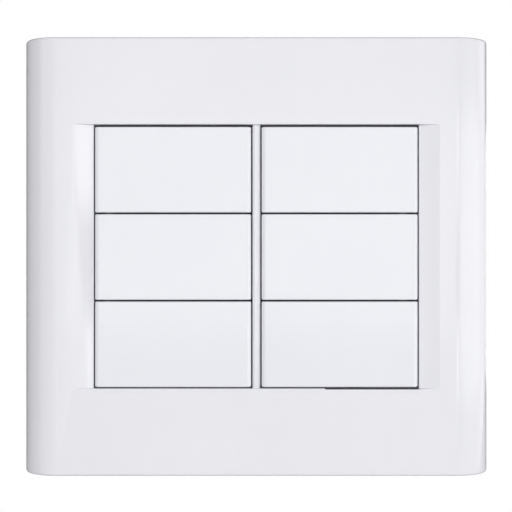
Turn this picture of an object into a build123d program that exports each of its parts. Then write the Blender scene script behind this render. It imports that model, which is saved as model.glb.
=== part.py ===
from build123d import *
import math
import os

# Wall plate with two columns of three rocker switches, in millimetres.
# X runs to the right, Z up and the front towards -Y. The wall plane is Y = 0.
# Heights called "front" are measured from the wall towards the room, so Y is minus the height.

# Layout
ROWS = ("top", "middle", "bottom")
COLUMNS = ("left", "right")
ROW_PITCH = 22.9
ROW_GAP = 0.44

# Rocker key
ROCKER_LENGTH = 41.0
ROCKER_SWING = 6.0
ROCKER_SINK = 0.5
SKIRT_DEPTH = 3.9
SKIRT_WALL = 1.2
CAP_WALL = 1.8
END_ROUND = 1.2
LONG_BEVEL = 0.35
LEFT_GAP = 0.3
RIGHT_GAP = 0.3
TOP_GAP = 0.58
BOTTOM_GAP = 0.3
UNDER_GAP = 0.48

# Rocker bearing
PIVOT_DEPTH = 4.1
TRUNNION_RADIUS = 1.0
TRUNNION_PLAY = 0.1
RUNNING_FIT = 0.05
SNAP_THROAT = 1.6
SIDE_PLAY = 0.3
BEAM_WIDTH = 4.4
BEAM_DROP = 1.6

# Plunger and its barrel in the rocker's hub
BARREL_WIDTH = 6.0
BARREL_REACH = 7.9
BORE_WIDTH = 3.3
BORE_ROOF = 0.1
PLUNGER_PLAY = 0.1
PLUNGER_REACH = 11.4
PLUNGER_GRIP = 3.4
NOSE_WIDTH = 1.0
NOSE_TAPER = 1.6
SPRING_WIRE = 0.45
SPRING_TURNS = 3
SPRING_CHORDS = 8
SPRING_PLAY = 0.1

# Cover plate
PLATE_WIDTH = 123.5
PLATE_HEIGHT = 115.0
PLATE_WALL = 2.0
SIDE_RADIUS = 9.5
EDGE_ROUND = 0.7
CENTRE_BAR = 2.16
BAR_ROUND = 0.85
WINDOW_ROUND = 0.3
BAR_GAP = 1.0
SCOOP_WIDTH = 5.5
SCOOP_DEPTH = 1.3
RIM_WIDTH = 2.0
RIM_DEPTH = 2.5
RELIEF_LENGTH = 24.7
RELIEF_DEPTH = 0.25
CLIP_WIDTH = 8.0
CLIP_WALL = 1.2
CLIP_CATCH = 0.7
CLIP_SPACING = 40.0
CLIP_PLAY = 0.2

# Mounting frame
FRAME_MARGIN_X = 6.75
FRAME_MARGIN_Z = 6.5
FRAME_THICKNESS = 1.8
FRAME_CORNER = 4.0
LEDGE_THICKNESS = 0.8
RIB_WALL = 1.6
RIB_GAP = 0.5
RIB_CLEARANCE = 2.0
SLOT_SPACING_X = 60.0
SLOT_SPACING_Z = 83.5
SLOT_WIDTH = 4.2
SLOT_LENGTH = 8.0

# Module yoke and housing
YOKE_THICKNESS = 1.2
YOKE_INSET = 0.3
YOKE_GAP = 0.1
EAR_WALL = 0.7
EAR_THICKNESS = 1.5
EAR_CLEARANCE = 0.9
LEG_WALL = 0.75
LEG_WIDTH = 7.6
LEG_REACH = 5.5
NUB_HEIGHT = 1.2
NUB_WIDTH = 3.6
NUB_DEPTH = 0.5
BARB_CATCH = 0.7
BARB_HEIGHT = 1.6
FLANGE_LIP = 1.8
HOUSING_INSET = 0.47
HOUSING_WALL = 1.4
HOUSING_FLOOR = 2.9
HOUSING_BEVEL = 0.6
WINDOW_PLAY = 0.25
SEAT_GAP = 0.05

# Contacts and terminals
BRIDGE_SWING = 17.0
BRIDGE_WIDTH = 5.2
BRIDGE_THICKNESS = 0.8
BRIDGE_TAIL = 6.2
BRIDGE_LIP = 1.7
BRIDGE_GAP = 0.15
GUIDE_LENGTH = 2.4
GUIDE_DROP = 1.4
GUIDE_WALL = 0.6
FULCRUM_RADIUS = 0.5
FULCRUM_PLAY = 0.05
CONTACT_ARM = 10.2
CONTACT_LENGTH = 2.4
CONTACT_WIDTH = 3.0
CONTACT_HEIGHT = 0.7
CONTACT_GAP = 0.1
PAD_HEIGHT = 0.5
STRIP_WIDTH = 4.8
STRIP_THICKNESS = 1.0
STOP_ARM = 5.2
STOP_GAP = 0.12
RISER_HEIGHT = 1.1
CAGE_LENGTH = 5.0
CAGE_WIDTH = 6.0
CAGE_WALL = 1.0
CAGE_HEIGHT = 6.0
CAGE_MARGIN = 0.5
INLET_WIDTH = 2.4
INLET_SPACING = 3.2
LEAF_WALL = 0.35
LEAF_WIDTH = 5.6
LEAF_GAP = 0.25
LEAF_RISE = 3.3

# Heights that follow from the sizes above
YOKE_TOP = FRAME_THICKNESS + YOKE_THICKNESS
END_DROP = ROCKER_LENGTH / 2 * math.sin(math.radians(ROCKER_SWING))
SKIRT_BOTTOM = YOKE_TOP + UNDER_GAP + END_DROP
FACE = SKIRT_BOTTOM + SKIRT_DEPTH
FRONT = FACE + ROCKER_SINK
CAP_UNDERSIDE = FACE - CAP_WALL
PIVOT = FACE - PIVOT_DEPTH
BARREL_BOTTOM = PIVOT - BARREL_REACH
BORE_TOP = PIVOT + BORE_ROOF
PLUNGER_TIP = PIVOT - PLUNGER_REACH
PLUNGER_TOP = BARREL_BOTTOM + PLUNGER_GRIP
SCOOP_FLOOR = FRONT - SCOOP_DEPTH
RIM_BOTTOM = SCOOP_FLOOR - RIM_DEPTH
BAR_BOTTOM = YOKE_TOP + BAR_GAP
RIB_TOP = BAR_BOTTOM - RIB_GAP

# Lengths, openings and places that follow from the sizes above
ROCKER_HEIGHT = ROW_PITCH - ROW_GAP
BEARING_INNER = ROCKER_HEIGHT / 2 - SKIRT_WALL - EAR_CLEARANCE - EAR_THICKNESS
BEAM_HEIGHT = 2 * (BEARING_INNER - SIDE_PLAY)
TRUNNION_LENGTH = SIDE_PLAY + EAR_THICKNESS - TRUNNION_PLAY
YOKE_LENGTH = ROCKER_LENGTH - 2 * YOKE_INSET
YOKE_HEIGHT = ROW_PITCH - YOKE_GAP
HOUSING_LENGTH = YOKE_LENGTH - 2 * FLANGE_LIP
HOUSING_HEIGHT = YOKE_HEIGHT - 2 * HOUSING_INSET
HOUSING_END = HOUSING_LENGTH / 2
FRAME_WIDTH = PLATE_WIDTH - 2 * FRAME_MARGIN_X
FRAME_HEIGHT = PLATE_HEIGHT - 2 * FRAME_MARGIN_Z
OPENING_LENGTH = LEFT_GAP + ROCKER_LENGTH + RIGHT_GAP
OPENING_HEIGHT = 2 * ROW_PITCH + ROCKER_HEIGHT + TOP_GAP + BOTTOM_GAP
OPENING_EDGE = CENTRE_BAR / 2 + OPENING_LENGTH
COLUMN_X = (CENTRE_BAR + OPENING_LENGTH) / 2
COLUMN_SHIFT = (LEFT_GAP - RIGHT_GAP) / 2
ROW_SHIFT = (BOTTOM_GAP - TOP_GAP) / 2
SCOOP_EDGE = OPENING_EDGE + SCOOP_WIDTH
PLUNGER_WIDTH = BORE_WIDTH - 2 * PLUNGER_PLAY

# Bridge and terminal heights that follow from the plunger's reach
HALF_TURN = math.radians(BRIDGE_SWING / 2)
BRIDGE_UNDER = FULCRUM_RADIUS + FULCRUM_PLAY
BRIDGE_OVER = BRIDGE_UNDER + BRIDGE_THICKNESS
BRIDGE_AXIS = PLUNGER_TIP - BRIDGE_GAP - BRIDGE_OVER
CLOSED_LIFT = (BRIDGE_UNDER - CONTACT_HEIGHT) * math.cos(HALF_TURN)
CLOSED_DROP = (CONTACT_ARM + CONTACT_LENGTH / 2) * math.sin(HALF_TURN)
PAD_TOP = BRIDGE_AXIS + CLOSED_LIFT - CLOSED_DROP - CONTACT_GAP
LOAD_STRIP_TOP = PAD_TOP - PAD_HEIGHT
LOAD_STRIP_BOTTOM = LOAD_STRIP_TOP - STRIP_THICKNESS
CAGE_TOP = LOAD_STRIP_BOTTOM - RISER_HEIGHT
CAGE_BOTTOM = CAGE_TOP - CAGE_HEIGHT
CAGE_OUTER = HOUSING_END - HOUSING_WALL - CAGE_MARGIN
CAGE_INNER = CAGE_OUTER - CAGE_LENGTH
FLOOR_TOP = CAGE_BOTTOM - SEAT_GAP
HOUSING_BACK = FLOOR_TOP - HOUSING_FLOOR
STOP_EDGE = STOP_ARM + STRIP_THICKNESS / 2
STOP_TOP = BRIDGE_AXIS + BRIDGE_UNDER / math.cos(HALF_TURN) - STOP_EDGE * math.tan(HALF_TURN) - STOP_GAP


def block(x0, x1, low, high, z0, z1):
    """Box between two X limits, two front heights and two Z limits."""
    middle = Pos((x0 + x1) / 2, -(low + high) / 2, (z0 + z1) / 2)
    return middle * Box(abs(x1 - x0), abs(high - low), abs(z1 - z0))


def slab(half_x, low, high, half_z):
    """Box centred on X = 0 and Z = 0 between two front heights."""
    return block(-half_x, half_x, low, high, -half_z, half_z)


def prism(points, half_z):
    """Solid with the given corners, each an X and a front height, as its section across Z."""
    corners = [(x, -front) for x, front in points]
    section = make_face(Polyline(*corners, close=True))
    return extrude(section, half_z, both=True)


def shell_section(width, low, high, radius):
    """Rectangle between two front heights whose two front corners are rounded."""
    section = Pos(0, -(low + high) / 2) * Rectangle(width, high - low)
    corners = section.vertices().sort_by(Axis.Y)[0:2]
    return fillet(corners, radius)


def side_edges(solid, half_z, back):
    """Edges of both Z ends of a solid, all but the ones at the back."""

    def on_outline(edge):
        """True for an edge in either end face that isn't at the back."""
        at_end = abs(abs(edge.center().Z) - half_z) < 1e-6
        return at_end and edge.center().Y < -back - 1e-6

    return solid.edges().filter_by(on_outline)


def pin(radius, length, x, front, z):
    """Cylinder along Z centred at the given place."""
    return Pos(x, -front, z) * Cylinder(radius, length)


def stud(radius, low, high, x, z):
    """Cylinder along Y between two front heights."""
    return Pos(x, -(low + high) / 2, z) * Rot(90, 0, 0) * Cylinder(radius, high - low)


def turned(solid, front, degrees):
    """Solid turned about the Z axis through X = 0 at a front height."""
    return Pos(0, -front, 0) * Rot(0, 0, degrees) * Pos(0, front, 0) * solid


def cover_plate():
    """Moulded cover: rolled sides, scooped ends, two windows with a bar between, four clips."""
    outer = extrude(shell_section(PLATE_WIDTH, 0, FRONT, SIDE_RADIUS), PLATE_HEIGHT / 2, both=True)
    plate = fillet(side_edges(outer, PLATE_HEIGHT / 2, 0), EDGE_ROUND)
    ceiling = FRONT - PLATE_WALL
    hollow = shell_section(PLATE_WIDTH - 2 * PLATE_WALL, -PLATE_WALL, ceiling, SIDE_RADIUS - PLATE_WALL)
    plate -= extrude(hollow, PLATE_HEIGHT / 2 - PLATE_WALL, both=True)

    # A thicker rim inside carries the windows' edges below the scoops
    rim_half_z = OPENING_HEIGHT / 2 + RIM_WIDTH
    plate += slab(SCOOP_EDGE + RIM_WIDTH, RIM_BOTTOM, FRONT - PLATE_WALL / 2, rim_half_z)

    # The scoops fall from a fold to the windows' outer edges, and the centre bar lies at their floor
    above = FRONT + PLATE_WALL
    slope = SCOOP_DEPTH / SCOOP_WIDTH
    spread = SCOOP_EDGE + PLATE_WALL / slope
    scoop = [(-OPENING_EDGE, SCOOP_FLOOR), (OPENING_EDGE, SCOOP_FLOOR), (spread, above), (-spread, above)]
    plate -= prism(scoop, OPENING_HEIGHT / 2)

    for side in (-1, 1):
        window_middle = side * COLUMN_X
        plate -= Pos(window_middle, 0, 0) * slab(OPENING_LENGTH / 2, 0, above, OPENING_HEIGHT / 2)
    plate += slab(CENTRE_BAR / 2, BAR_BOTTOM, RIM_BOTTOM + RIM_DEPTH / 2, rim_half_z)

    # The bar's front edges and the windows' outer edges are rounded along the scoops' floor
    plate = fillet(floor_edges(plate, CENTRE_BAR / 2), BAR_ROUND)
    plate = fillet(floor_edges(plate, OPENING_EDGE), WINDOW_ROUND)

    # The lower edge of the right window is relieved over its outer part
    low_edge = -OPENING_HEIGHT / 2
    relief_start = OPENING_EDGE - RELIEF_LENGTH
    plate -= block(relief_start, OPENING_EDGE, 0, above, low_edge - RELIEF_DEPTH, low_edge + RELIEF_DEPTH)

    for side in (-1, 1):
        for z in (-CLIP_SPACING / 2, CLIP_SPACING / 2):
            plate += cover_clip(side, z)
    return plate


def floor_edges(plate, half_x):
    """Upright edges on the scoops' floor at a distance to both sides of the middle."""

    def on_floor(edge):
        """True for an upright edge at that distance and height."""
        beside = abs(abs(edge.center().X) - half_x) < 1e-6
        return beside and abs(edge.center().Y + SCOOP_FLOOR) < 1e-6

    return plate.edges().filter_by(Axis.Z).filter_by(on_floor)


def cover_clip(side, z):
    """Clip that hangs inside the cover and catches under the mounting frame's ledge."""
    ledge = FRAME_THICKNESS - LEDGE_THICKNESS
    inner = FRAME_WIDTH / 2 + CLIP_PLAY
    outer = inner + CLIP_WALL
    low = CLIP_PLAY

    # The clip's root ends half way into the rolled side's wall
    root_radius = SIDE_RADIUS - PLATE_WALL / 2
    along = outer - PLATE_WIDTH / 2 + SIDE_RADIUS
    roof = FRONT - SIDE_RADIUS + math.sqrt(root_radius**2 - along**2)
    hook = [(inner, roof), (inner, ledge - CLIP_PLAY), (inner - CLIP_CATCH, ledge - CLIP_PLAY)]
    hook += [(inner, low), (outer, low), (outer, roof)]
    corners = [(side * x, front) for x, front in hook]
    return Pos(0, 0, z) * prism(corners, CLIP_WIDTH / 2)


def mounting_frame():
    """Frame behind the cover: two windows for the modules, screw slots, a rib and four clip ledges."""
    frame = slab(FRAME_WIDTH / 2, 0, FRAME_THICKNESS, FRAME_HEIGHT / 2)
    frame = fillet(frame.edges().filter_by(Axis.Y), FRAME_CORNER)

    window_half_z = ROW_PITCH + HOUSING_HEIGHT / 2 + WINDOW_PLAY
    window = slab(HOUSING_END + WINDOW_PLAY, 0, FRAME_THICKNESS, window_half_z)
    for column in (-1, 1):
        frame -= Pos(column * COLUMN_X + COLUMN_SHIFT, 0, ROW_SHIFT) * window

    # A stiffening rib stands round both windows
    rib_x = COLUMN_X + YOKE_LENGTH / 2 + RIB_CLEARANCE
    rib_z = window_half_z + RIB_CLEARANCE
    rib = slab(rib_x + RIB_WALL, FRAME_THICKNESS, RIB_TOP, rib_z + RIB_WALL)
    rib -= slab(rib_x, FRAME_THICKNESS, RIB_TOP, rib_z)
    frame += rib

    # Slots with round ends take the screws of the wall box
    straight = SLOT_LENGTH - SLOT_WIDTH
    slot = slab(straight / 2, 0, FRAME_THICKNESS, SLOT_WIDTH / 2)
    for end in (-1, 1):
        slot += stud(SLOT_WIDTH / 2, 0, FRAME_THICKNESS, end * straight / 2, 0)
    for x in (-SLOT_SPACING_X / 2, SLOT_SPACING_X / 2):
        for z in (-SLOT_SPACING_Z / 2, SLOT_SPACING_Z / 2):
            frame -= Pos(x, 0, z) * slot

    catch = CLIP_CATCH + CLIP_PLAY
    ledge = FRAME_THICKNESS - LEDGE_THICKNESS
    half_clip = CLIP_WIDTH / 2 + 2 * CLIP_PLAY
    for side in (-1, 1):
        for z in (-CLIP_SPACING / 2, CLIP_SPACING / 2):
            edge = side * FRAME_WIDTH / 2
            frame -= block(edge - side * catch, edge, 0, ledge, z - half_clip, z + half_clip)
    return frame


def rocker():
    """Rocker key: rounded cap with a skirt, and the hub that carries trunnions and the plunger."""
    section = shell_section(ROCKER_LENGTH, SKIRT_BOTTOM, FACE, END_ROUND)
    cap = extrude(section, ROCKER_HEIGHT / 2, both=True)
    cap = chamfer(side_edges(cap, ROCKER_HEIGHT / 2, SKIRT_BOTTOM), LONG_BEVEL)
    half_length = ROCKER_LENGTH / 2 - SKIRT_WALL
    cap -= slab(half_length, SKIRT_BOTTOM, CAP_UNDERSIDE, ROCKER_HEIGHT / 2 - SKIRT_WALL)

    root = CAP_UNDERSIDE + CAP_WALL / 3
    hub = slab(BEAM_WIDTH / 2, PIVOT - BEAM_DROP, root, BEAM_HEIGHT / 2)
    hub += slab(BARREL_WIDTH / 2, BARREL_BOTTOM, root, BARREL_WIDTH / 2)
    hub += pin(TRUNNION_RADIUS, BEAM_HEIGHT + 2 * TRUNNION_LENGTH, 0, PIVOT, 0)
    hub -= slab(BORE_WIDTH / 2, BARREL_BOTTOM, BORE_TOP, BORE_WIDTH / 2)
    return cap + turned(hub, PIVOT, -ROCKER_SWING / 2)


def plunger():
    """Square plunger with a blunt nose, leaning with the hub while the rocker is level."""
    half = PLUNGER_WIDTH / 2
    nose = NOSE_WIDTH / 2
    shoulder = PLUNGER_TIP + NOSE_TAPER
    blunt = PLUNGER_TIP + nose / 4
    outline = [(-half, PLUNGER_TOP), (half, PLUNGER_TOP), (half, shoulder), (nose, blunt)]
    outline += [(nose / 2, PLUNGER_TIP), (-nose / 2, PLUNGER_TIP), (-nose, blunt), (-half, shoulder)]
    return turned(prism(outline, half), PIVOT, -ROCKER_SWING / 2)


def plunger_spring():
    """Coil spring between the bore's roof and the plunger, its turns drawn with straight chords."""
    inset = SPRING_WIRE / 2 + SPRING_PLAY
    length = BORE_TOP - PLUNGER_TOP - 2 * inset
    radius = BORE_WIDTH / 2 - inset
    steps = SPRING_TURNS * SPRING_CHORDS
    corners = []
    for step in range(steps + 1):
        angle = 2 * math.pi * step / SPRING_CHORDS
        corners.append((radius * math.cos(angle), radius * math.sin(angle), length * step / steps))
    path = Polyline(*corners)
    wire = Plane(origin=path @ 0, x_dir=(1, 0, 0), z_dir=path % 0) * Rectangle(SPRING_WIRE, SPRING_WIRE)
    coil = sweep(wire, path=path, transition=Transition.RIGHT)
    standing = Pos(0, -(PLUNGER_TOP + inset), 0) * Rot(90, 0, 0) * coil
    return turned(standing, PIVOT, -ROCKER_SWING / 2)


def yoke():
    """Front of a module: flange on the frame, bearing ears, and legs that hold frame and housing."""
    flange = slab(YOKE_LENGTH / 2, FRAME_THICKNESS, YOKE_TOP, YOKE_HEIGHT / 2)
    lean = math.tan(math.radians(ROCKER_SWING / 2)) * (PIVOT - FRAME_THICKNESS)
    half_window = BARREL_WIDTH / 2 + lean + 2 * SIDE_PLAY
    flange -= slab(half_window, FRAME_THICKNESS, YOKE_TOP, BARREL_WIDTH / 2 + SIDE_PLAY)

    bore = TRUNNION_RADIUS + RUNNING_FIT
    ear_half = bore + EAR_WALL
    for side in (-1, 1):
        inner = side * BEARING_INNER
        outer = inner + side * EAR_THICKNESS
        middle = (inner + outer) / 2
        ear = block(-ear_half, ear_half, YOKE_TOP, PIVOT + ear_half, inner, outer)
        ear -= pin(bore, EAR_THICKNESS, 0, PIVOT, middle)
        ear -= block(-SNAP_THROAT / 2, SNAP_THROAT / 2, PIVOT, PIVOT + ear_half, inner, outer)
        flange += ear
        flange += yoke_leg(side)
    return flange


def yoke_leg(side):
    """Leg with a barb behind the frame and a nub in the housing's end wall."""
    outer = HOUSING_END
    inner = outer - LEG_WALL
    bottom = FRAME_THICKNESS - LEG_REACH - FRAME_THICKNESS
    leg = block(side * inner, side * outer, bottom, FRAME_THICKNESS, -LEG_WIDTH / 2, LEG_WIDTH / 2)
    nub_low = bottom + NUB_HEIGHT / 2
    nub_high = nub_low + NUB_HEIGHT
    leg += block(side * (inner - NUB_DEPTH), side * inner, nub_low, nub_high, -NUB_WIDTH / 2, NUB_WIDTH / 2)
    barb = [(outer, -CLIP_PLAY), (outer + BARB_CATCH, -CLIP_PLAY), (outer, -BARB_HEIGHT)]
    return leg + prism([(side * x, front) for x, front in barb], LEG_WIDTH / 2)


def housing():
    """Box of a module: a seat for the fulcrum, leg grooves, and four wire inlets in the back."""
    body = slab(HOUSING_END, HOUSING_BACK, FRAME_THICKNESS, HOUSING_HEIGHT / 2)
    body = chamfer(body.edges().filter_by(Axis.Y), HOUSING_BEVEL)
    inner_x = HOUSING_END - HOUSING_WALL
    inner_z = HOUSING_HEIGHT / 2 - HOUSING_WALL
    body -= slab(inner_x, FLOOR_TOP, FRAME_THICKNESS, inner_z)

    # A block under the common terminal's strip carries the fulcrum
    seat_top = CAGE_TOP - STRIP_THICKNESS - SEAT_GAP
    seat_end = CAGE_INNER - CAGE_MARGIN
    half_strip = STRIP_WIDTH / 2
    body += block(-2 * STRIP_THICKNESS, seat_end, FLOOR_TOP, seat_top, -half_strip, half_strip)

    leg_bottom = -LEG_REACH - SEAT_GAP
    groove = HOUSING_END - LEG_WALL - SEAT_GAP
    half_leg = LEG_WIDTH / 2 + WINDOW_PLAY
    nub_low = -LEG_REACH + NUB_HEIGHT / 2 - SEAT_GAP
    nub_high = nub_low + NUB_HEIGHT + 2 * SEAT_GAP
    half_nub = NUB_WIDTH / 2 + SEAT_GAP
    for side in (-1, 1):
        body -= block(side * groove, side * HOUSING_END, leg_bottom, FRAME_THICKNESS, -half_leg, half_leg)
        body -= block(side * inner_x, side * HOUSING_END, nub_low, nub_high, -half_nub, half_nub)
        inlet_x = side * (CAGE_INNER + CAGE_WALL + INLET_WIDTH / 2)
        for inlet_z in (-INLET_SPACING / 2, INLET_SPACING / 2):
            inlet = slab(INLET_WIDTH / 2, HOUSING_BACK, FLOOR_TOP, INLET_WIDTH / 2)
            body -= Pos(inlet_x, 0, inlet_z) * inlet
    return body


def contact_bridge():
    """See-saw strip with its contact tip and two guides, shown with the contact open."""
    half = BRIDGE_WIDTH / 2
    low = BRIDGE_AXIS + BRIDGE_UNDER
    high = BRIDGE_AXIS + BRIDGE_OVER
    bridge = block(-CONTACT_ARM - BRIDGE_LIP, BRIDGE_TAIL, low, high, -half, half)
    for side in (-1, 1):
        guide_low = BRIDGE_AXIS - GUIDE_DROP
        outer = side * (half + GUIDE_WALL)
        bridge += block(-GUIDE_LENGTH / 2, GUIDE_LENGTH / 2, guide_low, high, side * half, outer)
    tip = slab(CONTACT_LENGTH / 2, low - CONTACT_HEIGHT, low, CONTACT_WIDTH / 2)
    bridge += Pos(-CONTACT_ARM, 0, 0) * tip
    return turned(bridge, BRIDGE_AXIS, BRIDGE_SWING / 2)


def wire_cage(side):
    """Brass channel at one end of a module, open to the back for the wires and their leaf spring."""
    half = CAGE_WIDTH / 2
    channel = block(side * CAGE_INNER, side * CAGE_OUTER, CAGE_BOTTOM, CAGE_TOP, -half, half)
    inner = CAGE_INNER + CAGE_WALL
    outer = CAGE_OUTER - CAGE_WALL
    return channel - block(side * inner, side * outer, CAGE_BOTTOM, CAGE_TOP - CAGE_WALL, -half, half)


def common_terminal():
    """Terminal that carries the bridge: round-edged fulcrum, stop, strip and wire cage."""
    half = STRIP_WIDTH / 2
    terminal = wire_cage(1)
    terminal += block(-FULCRUM_RADIUS, CAGE_INNER, CAGE_TOP - STRIP_THICKNESS, CAGE_TOP, -half, half)
    terminal += slab(FULCRUM_RADIUS, CAGE_TOP, BRIDGE_AXIS, half)
    terminal += pin(FULCRUM_RADIUS, STRIP_WIDTH, 0, BRIDGE_AXIS, 0)
    terminal += block(STOP_EDGE - STRIP_THICKNESS, STOP_EDGE, CAGE_TOP, STOP_TOP, -half, half)
    return terminal


def load_terminal():
    """Terminal with the fixed contact: pad, strip, riser and wire cage."""
    half = STRIP_WIDTH / 2
    riser = -CAGE_INNER - STRIP_THICKNESS
    near_end = -CONTACT_ARM + CONTACT_LENGTH / 2 + BRIDGE_LIP / 4
    terminal = wire_cage(-1)
    terminal += block(riser, -CAGE_INNER, CAGE_TOP, LOAD_STRIP_TOP, -half, half)
    terminal += block(riser, near_end, LOAD_STRIP_BOTTOM, LOAD_STRIP_TOP, -half, half)
    pad = slab(CONTACT_LENGTH / 2, LOAD_STRIP_TOP, PAD_TOP, CONTACT_WIDTH / 2)
    terminal += Pos(-CONTACT_ARM, 0, 0) * pad
    return terminal


def clamp_springs():
    """Leaf springs of the two wire cages, folded so that their free edge bites a pushed-in wire."""
    back = CAGE_OUTER - CAGE_WALL - SEAT_GAP
    low = CAGE_BOTTOM + SEAT_GAP
    high = CAGE_TOP - CAGE_WALL - SEAT_GAP
    tip = CAGE_INNER + CAGE_WALL + LEAF_GAP
    leaf = [(back, high), (back, low), (back - LEAF_WALL, low), (tip, low + LEAF_RISE)]
    leaf += [(tip + LEAF_WALL, low + LEAF_RISE + LEAF_WALL / 2), (back - LEAF_WALL, low + 2 * LEAF_WALL)]
    leaf += [(back - LEAF_WALL, high)]
    springs = []
    for side in (-1, 1):
        corners = [(side * x, front) for x, front in leaf]
        springs.append(prism(corners, LEAF_WIDTH / 2))
    return springs


def module_places():
    """Name, X and Z of each module, from the top left to the bottom right."""
    places = []
    for column, side in zip(COLUMNS, (-1, 1)):
        for row, step in zip(ROWS, (1, 0, -1)):
            x = side * COLUMN_X + COLUMN_SHIFT
            z = step * ROW_PITCH + ROW_SHIFT
            places.append((f"{row}_{column}", x, z))
    return places


def all_nodes():
    """Every node's solids by name."""
    nodes = {
        "cover_plate": [cover_plate()],
        "mounting_frame": [mounting_frame()],
    }
    pieces = {
        "rocker": [rocker()],
        "plunger": [plunger()],
        "plunger_spring": [plunger_spring()],
        "yoke": [yoke()],
        "housing": [housing()],
        "contact_bridge": [contact_bridge()],
        "common_terminal": [common_terminal()],
        "load_terminal": [load_terminal()],
        "clamp_springs": clamp_springs(),
    }
    for place, x, z in module_places():
        for name, solids in pieces.items():
            nodes[f"{name}_{place}"] = [Pos(x, 0, z) * solid for solid in solids]
    return nodes


os.makedirs("parts", exist_ok=True)
for node, solids in all_nodes().items():
    shape = solids[0] if len(solids) == 1 else Compound(children=solids)
    export_step(shape, f"parts/{node}.step")
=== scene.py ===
import logging
import math
from abc import ABC, abstractmethod
from collections.abc import Callable, Iterator
from contextlib import contextmanager
from dataclasses import dataclass
from enum import Enum, IntEnum
from itertools import product
from typing import ClassVar, Union

import bmesh
import bpy
from mathutils import Matrix, Vector


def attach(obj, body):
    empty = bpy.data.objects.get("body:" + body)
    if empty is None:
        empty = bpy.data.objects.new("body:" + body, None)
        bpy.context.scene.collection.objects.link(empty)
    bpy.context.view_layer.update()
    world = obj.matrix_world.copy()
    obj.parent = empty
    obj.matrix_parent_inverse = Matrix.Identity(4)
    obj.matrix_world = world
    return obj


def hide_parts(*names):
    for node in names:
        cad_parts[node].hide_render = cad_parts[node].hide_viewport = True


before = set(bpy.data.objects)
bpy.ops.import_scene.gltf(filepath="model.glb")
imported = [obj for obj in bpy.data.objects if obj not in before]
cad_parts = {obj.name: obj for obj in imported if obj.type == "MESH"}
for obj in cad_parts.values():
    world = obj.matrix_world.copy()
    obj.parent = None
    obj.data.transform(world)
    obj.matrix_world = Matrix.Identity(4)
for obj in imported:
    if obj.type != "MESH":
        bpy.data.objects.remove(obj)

# A wall plate with two columns of three rocker keys, seen straight from the front.
# X runs to the right, Z up and the front towards -Y. Heights called "front" are minus Y.
# Pieces are modelled in millimetres and brought to metres when they are finished.

log = logging.getLogger("switch_plate")

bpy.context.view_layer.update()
MM = 0.001
NEAR = 1e-3  # Places closer than this, in millimetres, are the same
MARGIN = 0.01  # Margin of tests on a height, in millimetres
ALONG = 0.99  # Share of a unit direction that counts as running along an axis
PAST = 1.0  # How far a cutting shape runs past a surface, in millimetres
BITE = 0.5  # How far a shape runs through a thin wall, in millimetres
SIDES = (-1, 1)  # Left and right, or lower and upper
WHITE = (1.0, 1.0, 1.0)

Span = tuple[float, float]
Round = tuple[float, int]  # Radius and steps of a rounding
Triple = tuple[float, float, float]
Colour = Triple
Piece = bpy.types.Object
EdgeTest = Callable[[Vector, Vector], bool]


class Cut(Enum):
    """What a tool shape does to a piece."""

    ADD = "UNION"
    REMOVE = "DIFFERENCE"


class Pick(Enum):
    """What a selection in edit mode is made of."""

    VERTICES = "VERT"
    EDGES = "EDGE"


class Axis(IntEnum):
    """Axes of the shared frame."""

    X = 0
    Y = 1
    Z = 2


class Column(Enum):
    """Columns of the plate, by their side of the centre bar."""

    LEFT = -1
    RIGHT = 1


class Row(Enum):
    """Rows of the plate, in steps of the row pitch above the middle."""

    TOP = 1
    MIDDLE = 0
    BOTTOM = -1


Step = tuple[Piece, Cut]


def near(value: float, wanted: float) -> bool:
    """Whether two places are the same."""
    return abs(value - wanted) < NEAR


def runs(axis: Axis, front: float | None = None, x: float | None = None) -> EdgeTest:
    """Test for edges that run along an axis, at a front height and |X| if they are given."""
    return lambda spot, way: (
        abs(way[axis]) > ALONG
        and (front is None or near(spot.y, -front))
        and (x is None or near(abs(spot.x), x))
    )


def ends(half_z: float, low: float) -> EdgeTest:
    """Test for the edges round both ends of a block, above a front height."""
    return lambda spot, way: near(abs(spot.z), half_z) and spot.y < -low - MARGIN


@dataclass(frozen=True)
class Place:
    """Where one switch module sits."""

    row: Row
    column: Column
    x: float
    z: float

    @property
    def name(self) -> str:
        """Name that the module's nodes and bodies end with."""
        return f"{self.row.name}_{self.column.name}".lower()


@dataclass(frozen=True)
class Layout:
    """Grid of the six modules, in millimetres."""

    column_x: float = 21.88
    row_pitch: float = 22.9
    row_shift: float = -0.14

    def places(self) -> list[Place]:
        """The six modules, column by column from the top."""
        x, z = self.column_x, self.row_pitch
        return [
            Place(row, column, column.value * x, row.value * z + self.row_shift)
            for column in Column
            for row in Row
        ]


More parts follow.
